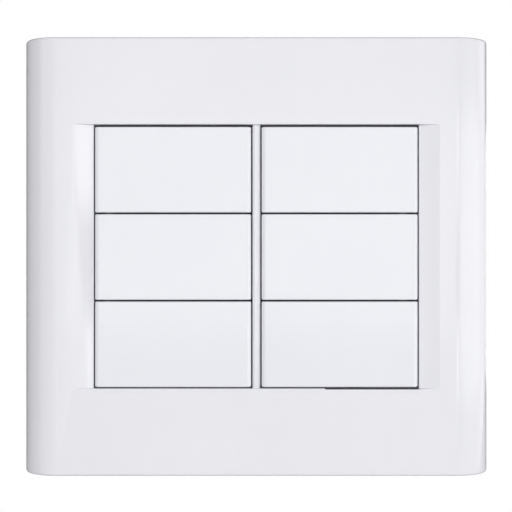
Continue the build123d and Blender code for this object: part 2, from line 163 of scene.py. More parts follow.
class Bench:
    """Hand modelling with operators, in millimetres, of one piece at a time."""

    FINE: ClassVar[float] = 1e-4
    COARSE: ClassVar[float] = 5e-3
    SMOOTH_ANGLE: ClassVar[float] = math.radians(35)
    SOFT: ClassVar[dict] = {
        "limit_method": "ANGLE", "angle_limit": math.radians(40), "segments": 2
    }

    @staticmethod
    def clear() -> None:
        """Leaves edit mode and deselects everything."""
        if bpy.context.object and bpy.context.object.mode != "OBJECT":
            bpy.ops.object.mode_set(mode="OBJECT")
        bpy.ops.object.select_all(action="DESELECT")

    @classmethod
    def take(cls, piece: Piece) -> None:
        """Makes one piece the only selected object and the active one.

        Args:
            piece: The object to work on.
        """
        cls.clear()
        piece.select_set(True)
        bpy.context.view_layer.objects.active = piece

    @staticmethod
    def added(name: str) -> Piece:
        """Names the active object, which was just added, and hands it back."""
        bpy.context.object.name = name
        return bpy.context.object

    @classmethod
    def settle(cls, name: str) -> Piece:
        """Puts the active object's place, turn and scale into its mesh, and names it."""
        bpy.ops.object.transform_apply(location=True, rotation=True, scale=True)
        return cls.added(name)

    @classmethod
    def block(cls, name: str, x: Span, front: Span, z: Span) -> Piece:
        """Adds a box between limits, which come in either order.

        Args:
            name: Name of the box.
            x: Its X limits.
            front: Its front heights.
            z: Its Z limits.

        Returns:
            The box.
        """
        cls.clear()
        spans = [sorted(span) for span in (x, (-front[0], -front[1]), z)]
        middle = [(low + high) / 2 for low, high in spans]
        size = [high - low for low, high in spans]
        bpy.ops.mesh.primitive_cube_add(size=1.0, location=middle, scale=size)
        return cls.settle(name)

    @classmethod
    def slab(
        cls, name: str, half_x: float, front: Span, half_z: float, at: Span = (0.0, 0.0)
    ) -> Piece:
        """Adds a box from half its width and height, about a middle given as X and Z."""
        x, z = at
        return cls.block(name, (x - half_x, x + half_x), front, (z - half_z, z + half_z))

    @classmethod
    @contextmanager
    def editing(cls, piece: Piece, pick: Pick) -> Iterator[bmesh.types.BMesh]:
        """Opens a piece in edit mode with nothing selected, and closes it again.

        Args:
            piece: The object to edit.
            pick: What is going to be selected.

        Yields:
            The mesh in edit mode.
        """
        cls.take(piece)
        bpy.ops.object.mode_set(mode="EDIT")
        bpy.ops.mesh.select_mode(type=pick.value)
        bpy.ops.mesh.select_all(action="DESELECT")
        yield bmesh.from_edit_mesh(piece.data)
        bpy.ops.object.mode_set(mode="OBJECT")

    @staticmethod
    def merge(threshold: float) -> None:
        """Merges all vertices in edit mode that are closer than a threshold."""
        bpy.ops.mesh.select_all(action="SELECT")
        bpy.ops.mesh.remove_doubles(threshold=threshold)

    @classmethod
    def round_edges(cls, piece: Piece, rounding: Round, test: EdgeTest) -> Piece:
        """Rounds the edges that pass a test.

        Args:
            piece: The object to work on.
            rounding: Radius of the rounding on a square edge, and its steps.
            test: Takes an edge's middle and unit direction, and says whether it is meant.

        Returns:
            The object.
        """
        width, steps = rounding
        with cls.editing(piece, Pick.EDGES) as mesh:
            for edge in mesh.edges:
                first, second = (vertex.co for vertex in edge.verts)
                if test((first + second) / 2, (second - first).normalized()):
                    edge.select_set(True)
            bmesh.update_edit_mesh(piece.data)
            bpy.ops.mesh.bevel(offset=width, segments=steps, affect="EDGES", clamp_overlap=False)
        return piece

    @classmethod
    def taper(cls, piece: Piece, axis: Axis, edge: float, front: float, by: float) -> None:
        """Moves one edge of a block along an axis, so that a side of it slants.

        Args:
            piece: The block.
            axis: The axis that the edge moves along.
            edge: Where the edge lies on that axis.
            front: Front height of the edge.
            by: How far it moves.
        """
        way = Vector((0.0, 0.0, 0.0))
        way[axis] = by
        with cls.editing(piece, Pick.VERTICES) as mesh:
            for vertex in mesh.verts:
                if near(vertex.co[axis], edge) and near(vertex.co.y, -front):
                    vertex.select_set(True)
            mesh.select_flush(True)
            bmesh.update_edit_mesh(piece.data)
            bpy.ops.transform.translate(value=way)
            cls.merge(cls.FINE)

    @staticmethod
    def arrange(step: bpy.types.Modifier, **settings: object) -> None:
        """Sets a modifier's properties."""
        for name, value in settings.items():
            setattr(step, name, value)

    @classmethod
    def modify(cls, piece: Piece, kind: str, **settings: object) -> None:
        """Adds a modifier to a piece and applies it.

        Args:
            piece: The object to work on.
            kind: Type of the modifier.
            settings: Its properties.
        """
        cls.take(piece)
        bpy.ops.object.modifier_add(type=kind)
        step = piece.modifiers[-1]
        cls.arrange(step, **settings)
        bpy.ops.object.modifier_apply(modifier=step.name)

    @classmethod
    def combine(cls, piece: Piece, tool: Piece, cut: Cut) -> None:
        """Adds a tool shape to a piece or removes it, and uses the tool up."""
        cls.modify(piece, "BOOLEAN", operation=cut.value, solver="EXACT", object=tool)
        cls.discard(tool)

    @classmethod
    def soften(cls, piece: Piece, width: float) -> None:
        """Merges what all but meets, and rounds every sharp edge of a piece a little.

        Args:
            piece: The object to work on.
            width: Width of the rounding.
        """
        with cls.editing(piece, Pick.VERTICES):
            cls.merge(cls.COARSE)
        cls.modify(piece, "BEVEL", width=width, use_clamp_overlap=False, **cls.SOFT)

    @classmethod
    def finish(cls, piece: Piece) -> None:
        """Merges, smooths and weights a piece's surface, and brings it to metres.

        Args:
            piece: The object to finish.
        """
        with cls.editing(piece, Pick.VERTICES):
            cls.merge(cls.FINE)
            bpy.ops.mesh.dissolve_degenerate(threshold=cls.FINE)
        cls.take(piece)
        bpy.ops.object.shade_smooth_by_angle(angle=cls.SMOOTH_ANGLE)
        cls.modify(piece, "WEIGHTED_NORMAL", keep_sharp=True)
        piece.scale = (MM, MM, MM)
        cls.settle(piece.name)

    @staticmethod
    def discard(piece: Piece) -> None:
        """Removes a piece that has served its purpose, together with its mesh."""
        bpy.data.meshes.remove(piece.data)


Link = Union["Socket", float, tuple]
Key = Union[str, int]


class Socket:
    """Output of a shader node. Arithmetic on it adds Math nodes to its graph."""

    def __init__(self, graph: "Graph", output: bpy.types.NodeSocket) -> None:
        """Wraps an output of a node in a graph."""
        self.graph = graph
        self.output = output

    def other(self, name: str) -> "Socket":
        """Another output of the same node, by its name."""
        return Socket(self.graph, self.output.node.outputs[name])

    def _math(self, operation: str, first: Link, second: Link = 0.0) -> "Socket":
        """Result of a Math node on two values."""
        return self.graph.node("ShaderNodeMath", {"operation": operation}, {0: first, 1: second})

    def __add__(self, other: Link) -> "Socket":
        """Sum."""
        return self._math("ADD", self, other)

    __radd__ = __add__

    def __sub__(self, other: Link) -> "Socket":
        """Difference."""
        return self._math("SUBTRACT", self, other)

    def __rsub__(self, other: Link) -> "Socket":
        """Difference, the other way round."""
        return self._math("SUBTRACT", other, self)

    def __mul__(self, other: Link) -> "Socket":
        """Product."""
        return self._math("MULTIPLY", self, other)

    __rmul__ = __mul__

    def __abs__(self) -> "Socket":
        """Size without the sign."""
        return self._math("ABSOLUTE", self)

    def step(self, low: float, high: float) -> "Socket":
        """Smooth step from 0 at one value to 1 at another."""
        sizes = {"Value": self, "From Min": low, "From Max": high}
        return self.graph.node("ShaderNodeMapRange", {"interpolation_type": "SMOOTHSTEP"}, sizes)

    def tint(self, low: Union["Socket", Colour], high: Colour) -> "Socket":
        """Colour between two, the first where this value is 0 and the second where it is 1."""
        inputs = {"Factor_Float": self, "A_Color": low, "B_Color": high}
        return self.graph.node("ShaderNodeMix", {"data_type": "RGBA"}, inputs, "Result_Color")


class Graph:
    """Node tree that shaders are written into."""

    MICRON: ClassVar[float] = 1e-6
    EVEN: ClassVar[Triple] = (1.0, 1.0, 1.0)

    def __init__(self, tree: bpy.types.NodeTree) -> None:
        """Empties a node tree down to its output node.

        Args:
            tree: The tree of a material or of the world, as it is when new.
        """
        self.tree = tree
        for node in list(tree.nodes):
            if node.outputs:
                tree.nodes.remove(node)
        self.sink = tree.nodes[0].inputs[0]

    @staticmethod
    def _find(sockets: bpy.types.bpy_prop_collection, key: Key) -> bpy.types.NodeSocket:
        """Socket by its index, identifier or name."""
        named = (socket for socket in sockets if key in (socket.identifier, socket.name))
        return sockets[key] if isinstance(key, int) else next(named)

    def node(
        self, kind: str, settings: dict | None = None, inputs: dict | None = None, output: Key = 0
    ) -> Socket:
        """Adds a node.

        Args:
            kind: Type of the node.
            settings: Properties of the node, set before its sockets.
            inputs: Values or links of its inputs, by index, identifier or name.
            output: The output that is handed back.

        Returns:
            That output.
        """
        made = self.tree.nodes.new(kind)
        for name, value in (settings or {}).items():
            setattr(made, name, value)
        for key, value in (inputs or {}).items():
            socket = self._find(made.inputs, key)
            if isinstance(value, Socket):
                self.tree.links.new(value.output, socket)
            else:
                socket.default_value = (*value, 1.0) if socket.type == "RGBA" else value
        return Socket(self, self._find(made.outputs, output))

    def end(self, shader: Socket) -> None:
        """Links a shader to the tree's output node."""
        self.tree.links.new(shader.output, self.sink)

    def place(self, stretch: Triple = EVEN) -> Socket:
        """Object coordinates, with a scale for each axis."""
        where = self.node("ShaderNodeTexCoord", output="Object")
        return self.node("ShaderNodeMapping", {}, {"Vector": where, "Scale": stretch})

    def y_of(self, vector: Socket) -> Socket:
        """Y of a vector."""
        return self.node("ShaderNodeSeparateXYZ", {}, {0: vector}, "Y")

    def seen(self) -> Socket:
        """1 for rays from the camera, off gloss or through glass, and 0 for the rest."""
        path = self.node("ShaderNodeLightPath", output="Is Camera Ray")
        return (path + path.other("Is Glossy Ray") + path.other("Is Transmission Ray")).step(0, 1)

    def noise(self, size_mm: float, detail: float, stretch: Triple = EVEN) -> Socket:
        """Cloudy noise from 0 to 1, with blots of about a size and octaves of finer detail."""
        sizes = {"Vector": self.place(stretch), "Scale": 1.0 / (size_mm * MM), "Detail": detail}
        return self.node("ShaderNodeTexNoise", {}, sizes)

    def cells(self, size_mm: float) -> Socket:
        """Distance to the nearest of many points scattered at about a size, in cell sizes."""
        sizes = {"Vector": self.place(), "Scale": 1.0 / (size_mm * MM)}
        return self.node("ShaderNodeTexVoronoi", {}, sizes, "Distance")

    def principled(
        self, base: Socket, rough: Socket, microns: Socket, constants: dict[str, float]
    ) -> None:
        """Ends the graph with a surface that has a fine relief.

        Args:
            base: Its colour.
            rough: Its roughness.
            microns: Height of the relief in micrometres.
            constants: Other inputs of the shader, by name.
        """
        bump = {"Strength": 1.0, "Distance": self.MICRON, "Height": microns}
        normal = self.node("ShaderNodeBump", {}, bump)
        inputs = {"Base Color": base, "Roughness": rough, "Normal": normal, **constants}
        self.end(self.node("ShaderNodeBsdfPrincipled", {}, inputs))


@dataclass(frozen=True)
class Finish(ABC):
    """A surface finish that becomes one material."""

    name: str

    def material(self) -> bpy.types.Material:
        """The finish's material, made when it is first asked for.

        Returns:
            The material.
        """
        made = bpy.data.materials.get(self.name)
        if not made:
            made = bpy.data.materials.new(self.name)
            made.use_nodes = True
            self.write(Graph(made.node_tree))
        return made

    @abstractmethod
    def write(self, graph: Graph) -> None:
        """Writes the finish's nodes into an empty graph."""

    def dress(self, piece: Piece) -> None:
        """Gives a piece this finish as its only material.

        Args:
            piece: The object to dress.
        """
        if piece.material_slots:
            for slot in piece.material_slots:
                slot.material = self.material()
        else:
            piece.data.materials.append(self.material())


@dataclass(frozen=True)
class GlossPlastic(Finish):
    """Polished moulded plastic: faint tone drift, fine peel, slow ripple and a matt inside."""

    light: Colour
    shade: Colour
    roughness: float
    ripple: float
    parting_front_mm: float
    inside_facing: Span = (0.25, 0.6)
    drift_mm: float = 34.0
    flow_mm: float = 7.0
    speck_mm: float = 0.35
    hair_mm: float = 0.5
    peel_mm: float = 0.9
    ripple_mm: float = 13.0
    grain_mm: float = 0.3
    seam_mm: Span = (0.03, 0.09)
    peel: float = 0.7
    grain: float = 5.0
    seam: float = 14.0
    matt: float = 0.3

    def write(self, graph: Graph) -> None:
        """Writes the plastic's nodes.

        Args:
            graph: The material's empty graph.
        """
        facing = graph.y_of(graph.node("ShaderNodeTexCoord", output="Normal"))
        inside = facing.step(*self.inside_facing)
        off = abs(graph.y_of(graph.place()) + self.parting_front_mm * MM)
        seam = 1.0 - off.step(self.seam_mm[0] * MM, self.seam_mm[1] * MM)

        drift = graph.noise(self.drift_mm, 1.0)
        flow = graph.noise(self.flow_mm, 3.0, (1.0, 1.0, 0.25))
        base = (0.7 * drift + 0.3 * flow).step(0.3, 0.72).tint(self.shade, self.light)

        speck = graph.noise(self.speck_mm, 2.0)
        hair = graph.noise(self.hair_mm, 1.0, (0.06, 1.0, 1.0)).step(0.66, 0.78)
        rough = self.roughness + 0.05 * (speck - 0.5) + 0.03 * (drift - 0.5) + 0.04 * hair
        rough = rough + self.matt * inside

        height = self.peel * graph.noise(self.peel_mm, 1.0)
        height = height + self.ripple * graph.noise(self.ripple_mm, 1.0)
        height = height + self.grain * graph.cells(self.grain_mm) * inside - self.seam * seam
        graph.principled(base, rough, height, {"IOR": 1.49})


@dataclass(frozen=True)
class GrainedPlastic(Finish):
    """Matt moulded plastic with spark-eroded grain, cloudy tone and pale filler specks."""

    light: Colour
    shade: Colour
    speck: Colour
    roughness: float
    grain_mm: float
    depth: float
    cloud_mm: float = 6.0
    flow_mm: float = 2.4
    speck_mm: float = 0.55

    def write(self, graph: Graph) -> None:
        """Writes the plastic's nodes.

        Args:
            graph: The material's empty graph.
        """
        cloud = graph.noise(self.cloud_mm, 3.0)
        flow = graph.noise(self.flow_mm, 2.0, (1.0, 0.2, 1.0))
        tone = (0.6 * cloud + 0.4 * flow).step(0.3, 0.7).tint(self.shade, self.light)
        fleck = 1.0 - graph.cells(self.speck_mm).step(0.05, 0.16)
        base = (0.6 * fleck).tint(tone, self.speck)

        fine = graph.noise(self.grain_mm * 0.6, 2.0)
        rough = self.roughness + 0.12 * (fine - 0.5) + 0.06 * (cloud - 0.5)
        height = self.depth * graph.cells(self.grain_mm) + 0.5 * self.depth * fine
        graph.principled(base, rough, height, {"IOR": 1.5})


@dataclass(frozen=True)
class StampedMetal(Finish):
    """Rolled and stamped metal: streaks along one axis, light tarnish and tiny pits."""

    clean: Colour
    tarnish: Colour
    roughness: float
    stretch: Triple = (1.0, 1.0, 0.1)
    blot_mm: float = 2.2
    streak_mm: float = 0.35
    pit_mm: float = 0.7
    streak: float = 1.6
    pit: float = 3.0

    def write(self, graph: Graph) -> None:
        """Writes the metal's nodes.

        Args:
            graph: The material's empty graph.
        """
        blot = graph.noise(self.blot_mm, 3.0).step(0.45, 0.75)
        streak = graph.noise(self.streak_mm, 2.0, self.stretch)
        pit = 1.0 - graph.cells(self.pit_mm).step(0.03, 0.1)
        base = (0.7 * blot + 0.3 * streak).tint(self.clean, self.tarnish)
        rough = self.roughness + 0.16 * (streak - 0.5) + 0.14 * blot
        graph.principled(base, rough, self.streak * streak - self.pit * pit, {"Metallic": 1.0})


@dataclass(frozen=True)
class StudioFloor(Finish):
    """Pale floor that shows as white, keeps a soft shadow and fades out at its rim."""

    colour: Colour
    radius: float
    shadow: float
    fade_from: float = 0.55

    def write(self, graph: Graph) -> None:
        """Writes the floor's nodes.

        Args:
            graph: The material's empty graph.
        """
        matt = graph.node("ShaderNodeBsdfDiffuse", {}, {"Color": self.colour})
        white = graph.node("ShaderNodeEmission", {}, {"Color": WHITE, "Strength": 1.0})
        shown = graph.seen() * (1.0 - self.shadow)
        ground = graph.node("ShaderNodeMixShader", {}, {0: shown, 1: matt, 2: white})
        clear = graph.node("ShaderNodeBsdfTransparent")
        length = {"operation": "LENGTH"}
        spot = graph.node("ShaderNodeVectorMath", length, {0: graph.place()}, "Value")
        edge = spot.step(self.fade_from * self.radius, self.radius)
        graph.end(graph.node("ShaderNodeMixShader", {}, {0: edge, 1: ground, 2: clear}))


@dataclass(frozen=True)
class CardPaper(Finish):
    """Matt dark paper."""

    colour: Colour

    def write(self, graph: Graph) -> None:
        """Writes the paper's nodes into an empty graph."""
        graph.end(graph.node("ShaderNodeBsdfDiffuse", {}, {"Color": self.colour}))


class Palette:
    """Finishes of the plate's pieces and of the studio."""

    PLATE = GlossPlastic(
        "plate_gloss_white", (0.824, 0.824, 0.863), (0.806, 0.807, 0.847),
        roughness=0.12, ripple=3.0, parting_front_mm=0.7,
    )
    KEY = GlossPlastic(
        "key_gloss_white", (0.83, 0.838, 0.876), (0.814, 0.822, 0.862),
        roughness=0.1, ripple=2.4, parting_front_mm=30.0,
    )
    FRAME = GrainedPlastic(
        "frame_grained_grey", (0.33, 0.335, 0.35), (0.28, 0.285, 0.3), (0.42, 0.42, 0.43),
        roughness=0.5, grain_mm=0.3, depth=9.0,
    )
    YOKE = GrainedPlastic(
        "yoke_grained_dark", (0.12, 0.12, 0.128), (0.09, 0.09, 0.096), (0.2, 0.2, 0.21),
        roughness=0.55, grain_mm=0.24, depth=7.0,
    )
    HOUSING = GrainedPlastic(
        "housing_grained_dark", (0.17, 0.172, 0.185), (0.135, 0.137, 0.15), (0.3, 0.3, 0.31),
        roughness=0.52, grain_mm=0.28, depth=9.0,
    )
    PLUNGER = GrainedPlastic(
        "plunger_nylon", (0.8, 0.79, 0.73), (0.74, 0.72, 0.64), (0.86, 0.85, 0.8),
        roughness=0.4, grain_mm=0.2, depth=3.0,
    )
    BRIDGE = StampedMetal(
        "bridge_stamped_brass", (0.82, 0.6, 0.3), (0.6, 0.38, 0.17),
        roughness=0.27, stretch=(0.1, 1.0, 1.0),
    )
    TERMINAL = StampedMetal(
        "terminal_stamped_brass", (0.8, 0.62, 0.29), (0.62, 0.43, 0.18), roughness=0.3
    )
    SPRING = StampedMetal(
        "spring_bright_steel", (0.66, 0.66, 0.68), (0.5, 0.5, 0.51), roughness=0.24
    )
    CARD = CardPaper("card_paper", (0.05, 0.05, 0.05))
    FLOOR = StudioFloor("studio_floor", (0.8, 0.8, 0.8), radius=0.43, shadow=0.35)


class SubAssembly(ABC):
    """Pieces of the plate that are modelled, tied to the CAD and dressed together."""

    LAYOUT: ClassVar[Layout] = Layout()
    finish: ClassVar[Finish]
    material_slot: ClassVar[str]

    @abstractmethod
    def build(self) -> list[Piece]:
        """Models the finished pieces."""

    def dress(self, pieces: list[Piece]) -> None:
        """Gives the pieces their finish."""
        for piece in pieces:
            self.finish.dress(piece)

    def tie(self, piece: Piece, body: str, node: str) -> Piece:
        """Ties a finished piece to its body and to the CAD node it replaces.

        Args:
            piece: The finished piece.
            body: The body that it rides on.
            node: The CAD node that it replaces.

        Returns:
            The piece.
        """
        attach(piece, body)
        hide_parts(node)
        log.info("%s: %d faces", piece.name, len(piece.data.polygons))
        return piece

    def spread(self, master: Piece, name: str, body: str, node: str) -> list[Piece]:
        """Copies a finished piece, with its own mesh, to each place and ties the copies.

        Args:
            master: The finished piece, about X = 0 and Z = 0, which is used up.
            name: Name of a copy, with {} for the place's name.
            body: Body of a copy, in the same way.
            node: CAD node that a copy replaces, in the same way.

        Returns:
            The copies.
        """
        made = []
        for place in self.LAYOUT.places():
            Bench.take(master)
            bpy.ops.object.duplicate(linked=False)
            bpy.context.object.location = (place.x * MM, 0.0, place.z * MM)
            copy = Bench.settle(name.format(place.name))
            copy.data.name = copy.name
            made.append(self.tie(copy, body.format(place.name), node.format(place.name)))
        Bench.discard(master)
        return made


@dataclass
class CoverPlate(SubAssembly):
    """Moulded cover with rolled sides, tapered scoops, two windows, a centre bar and clips."""

    finish: ClassVar[Finish] = Palette.PLATE
    material_slot: ClassVar[str] = "plate_white"

    width: float = 123.5
    height: float = 115.0
    front: float = 10.0228
    wall: float = 2.0
    side_radius: float = 9.5
    side_steps: int = 28
    inner_steps: int = 20
    edge: Round = (0.7, 5)
    window_inner: float = 1.08
    window_outer: float = 42.68
    window_half: float = 34.57
    scoop_outer: float = 48.18
    scoop_floor: float = 8.7228
    rim_width: float = 2.0
    rim_bottom: float = 6.2228
    bar_bottom: float = 4.0
    relief_start: float = 17.98
    relief_depth: float = 0.25
    lip: Round = (0.28, 4)
    bar_edge: Round = (0.85, 6)
    window_edge: Round = (0.3, 6)
    clip_inner: float = 55.2
    clip_wall: float = 1.2
    clip_catch: float = 0.7
    clip_ledge: float = 0.8
    clip_low: float = 0.2
    clip_width: float = 8.0
    clip_z: float = 20.0

    def build(self) -> list[Piece]:
        """Models the cover.

        Returns:
            The finished cover, riding on the wall unit.
        """
        shell = self._rolled("cover", 0.0, 0.0, self.side_steps)
        Bench.round_edges(shell, self.edge, ends(self.height / 2, 0.0))
        for tool, cut in self._features():
            Bench.combine(shell, tool, cut)
        self._round_windows(shell)
        Bench.finish(shell)
        return [self.tie(shell, "wall_unit", "cover_plate")]

    def _rolled(self, name: str, inset: float, low: float, steps: int) -> Piece:
        """Block with rolled left and right sides, the cover's outline or the space inside it.

        Args:
            name: Name of the block.
            inset: How far it lies inside the cover's outline.
            low: Front height of its back.
            steps: Steps of the rolled sides.

        Returns:
            The block.
        """
        top = self.front - inset
        half_x, half_z = self.width / 2 - inset, self.height / 2 - inset
        block = Bench.slab(name, half_x, (low, top), half_z)
        return Bench.round_edges(block, (self.side_radius - inset, steps), runs(Axis.Z, top))

    def _features(self) -> Iterator[Step]:
        """Hollow, rim, scoops, windows, bar, relief and clips, in the order of the work.

        Yields:
            Each tool shape with what it does.
        """
        above = self.front + self.wall
        half = self.window_half
        rim_z = half + self.rim_width
        yield self._rolled("hollow", self.wall, -self.wall, self.inner_steps), Cut.REMOVE
        rim_front = (self.rim_bottom, self.front - self.wall / 2)
        yield Bench.slab("rim", self.scoop_outer + self.rim_width, rim_front, rim_z), Cut.ADD

        scoop = Bench.slab("scoop", self.window_outer, (self.scoop_floor, above), half)
        slope = (self.scoop_outer - self.window_outer) / (self.front - self.scoop_floor)
        reach = (above - self.scoop_floor) * slope
        for side in SIDES:
            Bench.taper(scoop, Axis.X, side * self.window_outer, above, side * reach)
        yield scoop, Cut.REMOVE

        for side in SIDES:
            x = (side * self.window_inner, side * self.window_outer)
            yield Bench.block("window", x, (0.0, above), (-half, half)), Cut.REMOVE
        bar_front = (self.bar_bottom, (self.rim_bottom + self.scoop_floor) / 2)
        yield Bench.slab("bar", self.window_inner, bar_front, rim_z), Cut.ADD
        x = (self.relief_start, self.window_outer)
        z = (-half - self.relief_depth, -half + self.relief_depth)
        yield Bench.block("relief", x, (0.0, above), z), Cut.REMOVE
        for side in SIDES:
            for middle in (-self.clip_z, self.clip_z):
                yield self._clip(side, middle), Cut.ADD

    def _clip(self, side: int, z: float) -> Piece:
        """Clip inside a rolled side, with a hook that catches the frame's ledge.

        Args:
            side: -1 for the left side, 1 for the right one.
            z: Middle of the clip.

        Returns:
            The clip's shape.
        """
        outer = self.clip_inner + self.clip_wall
        along = outer - self.width / 2 + self.side_radius
        root = self.side_radius - self.wall / 2
        roof = self.front - self.side_radius + math.sqrt(root**2 - along**2)
        span_z = (z - self.clip_width / 2, z + self.clip_width / 2)
        x = (side * self.clip_inner, side * outer)
        clip = Bench.block("clip", x, (self.clip_low, roof), span_z)
        tip = side * (self.clip_inner - self.clip_catch)
        x = (tip, side * (self.clip_inner + self.clip_wall / 3))
        hook = Bench.block("hook", x, (self.clip_low, self.clip_ledge), span_z)
        Bench.taper(hook, Axis.X, tip, self.clip_low, side * self.clip_catch)
        Bench.combine(clip, hook, Cut.ADD)
        return clip

    def _round_windows(self, shell: Piece) -> None:
        """Rounds the lips above and below the keys and the windows' upright edges.

        Args:
            shell: The cover, with its windows cut.
        """
        level = runs(Axis.X, self.front)
        reach = self.relief_depth + MARGIN
        Bench.round_edges(
            shell, self.lip,
            lambda spot, way: level(spot, way) and abs(abs(spot.z) - self.window_half) < reach,
        )
        edges = ((self.window_inner, self.bar_edge), (self.window_outer, self.window_edge))
        for x, rounding in edges:
            Bench.round_edges(shell, rounding, runs(Axis.Z, self.scoop_floor, x))


@dataclass
class RockerKey(SubAssembly):
    """Rocker key: rounded cap on a skirt, hub with trunnions and the plunger's barrel."""

    finish: ClassVar[Finish] = Palette.KEY
    material_slot: ClassVar[str] = "key_white"

    length: float = 41.0
    height: float = 22.46
    face: float = 9.5228
    skirt_bottom: float = 5.6228
    skirt_wall: float = 1.2
    underside: float = 7.7228
    end_edge: Round = (1.2, 12)
    long_edge: Round = (0.35, 5)
    pivot: float = 5.4228
    rest_lean: float = -3.0
    root_depth: float = 0.6
    beam_width: float = 4.4
    beam_height: float = 14.66
    beam_drop: float = 1.6
    barrel_width: float = 6.0
    barrel_bottom: float = -2.4772
    bore_width: float = 3.3
    bore_top: float = 5.5228
    trunnion_radius: float = 1.0
    trunnion_length: float = 1.7
    trunnion_sides: int = 40

    def build(self) -> list[Piece]:
        """Models one key and copies it to each place.

        Returns:
            The finished keys, each riding on its own body.
        """
        cap = self._cap()
        Bench.combine(cap, self._hub(), Cut.ADD)
        Bench.finish(cap)
        return self.spread(cap, "key_cap_{}", "key_{}", "rocker_{}")

    def _cap(self) -> Piece:
        """Cap with rounded ends, softened long edges and a hollow underside.

        Returns:
            The cap.
        """
        half_x, half_z = self.length / 2, self.height / 2
        cap = Bench.slab("cap", half_x, (self.skirt_bottom, self.face), half_z)
        Bench.round_edges(cap, self.end_edge, runs(Axis.Z, self.face))
        Bench.round_edges(cap, self.long_edge, ends(half_z, self.skirt_bottom))
        hollow = (self.skirt_bottom - PAST, self.underside)
        inside = Bench.slab("inside", half_x - self.skirt_wall, hollow, half_z - self.skirt_wall)
        Bench.combine(cap, inside, Cut.REMOVE)
        return cap

    def _hub(self) -> Piece:
        """Beam, barrel with its bore and trunnions, leaning as they do while the key is level.

        Returns:
            The hub.
        """
        root = self.underside + self.root_depth
        beam_front = (self.pivot - self.beam_drop, root)
        hub = Bench.slab("hub", self.beam_width / 2, beam_front, self.beam_height / 2)
        half = self.barrel_width / 2
        barrel = Bench.slab("barrel", half, (self.barrel_bottom, root), half)
        Bench.combine(hub, barrel, Cut.ADD)
        pivot = Vector((0.0, -self.pivot, 0.0))
        Bench.clear()
        bpy.ops.mesh.primitive_cylinder_add(
            vertices=self.trunnion_sides,
            radius=self.trunnion_radius,
            depth=self.beam_height + 2 * self.trunnion_length,
            location=pivot,
        )
        Bench.combine(hub, Bench.settle("trunnions"), Cut.ADD)
        half = self.bore_width / 2
        bore = Bench.slab("bore", half, (self.barrel_bottom - PAST, self.bore_top), half)
        Bench.combine(hub, bore, Cut.REMOVE)
        turn = Matrix.Rotation(math.radians(self.rest_lean), 4, "Z")
        hub.matrix_world = Matrix.Translation(pivot) @ turn @ Matrix.Translation(-pivot)
        Bench.take(hub)
        return Bench.settle("hub")


@dataclass
class MountingFrame(SubAssembly):
    """Frame behind the cover: module windows, a rib round them, screw slots and clip ledges."""

    finish: ClassVar[Finish] = Palette.FRAME
    material_slot: ClassVar[str] = "frame_grey"

    width: float = 110.0
    height: float = 102.0
    thickness: float = 1.8
    corner: Round = (4.0, 10)
    window_half_x: float = 18.65
    window_half_z: float = 34.08
    rib_half_x: float = 44.08
    rib_half_z: float = 36.08
    rib_wall: float = 1.6
    rib_top: float = 3.5
    slot_x: float = 30.0
    slot_z: float = 41.75
    slot_width: float = 4.2
    slot_length: float = 8.0
    slot_steps: int = 10
    ledge: float = 1.0
    catch: float = 0.9
    ledge_half: float = 4.4
    ledge_z: float = 20.0
    edge_round: float = 0.16

    def build(self) -> list[Piece]:
        """Models the frame.

        Returns:
            The finished frame, riding on the wall unit.
        """
        plate = Bench.slab("frame", self.width / 2, (0.0, self.thickness), self.height / 2)
        Bench.round_edges(plate, self.corner, runs(Axis.Y))
        for tool, cut in self._features():
            Bench.combine(plate, tool, cut)
        Bench.soften(plate, self.edge_round)
        Bench.finish(plate)
        return [self.tie(plate, "wall_unit", "mounting_frame")]

    def _features(self) -> Iterator[Step]:
        """Rib, windows, slots and ledges, in the order of the work.

        Yields:
            Each tool shape with what it does.
        """
        out_x, out_z = self.rib_half_x + self.rib_wall, self.rib_half_z + self.rib_wall
        yield Bench.slab("rib", out_x, (self.thickness / 2, self.rib_top), out_z), Cut.ADD
        past = self.rib_top + PAST
        inside = Bench.slab("rib_inside", self.rib_half_x, (self.thickness, past), self.rib_half_z)
        yield inside, Cut.REMOVE
        half_x, half_z = self.window_half_x, self.window_half_z
        for column in Column:
            at = (column.value * self.LAYOUT.column_x, self.LAYOUT.row_shift)
            yield Bench.slab("window", half_x, (-PAST, past), half_z, at), Cut.REMOVE
        half_x, half_z = self.slot_length / 2, self.slot_width / 2
        rounding = (half_z - NEAR, self.slot_steps)
        for side in SIDES:
            for z in (-self.slot_z, self.slot_z):
                at = (side * self.slot_x, z)
                slot = Bench.slab("slot", half_x, (-PAST, self.rib_top), half_z, at)
                yield Bench.round_edges(slot, rounding, runs(Axis.Y)), Cut.REMOVE
            edge = side * self.width / 2
            x = (edge - side * self.catch, edge + side * PAST)
            for z in (-self.ledge_z, self.ledge_z):
                span_z = (z - self.ledge_half, z + self.ledge_half)
                yield Bench.block("ledge", x, (-PAST, self.ledge), span_z), Cut.REMOVE


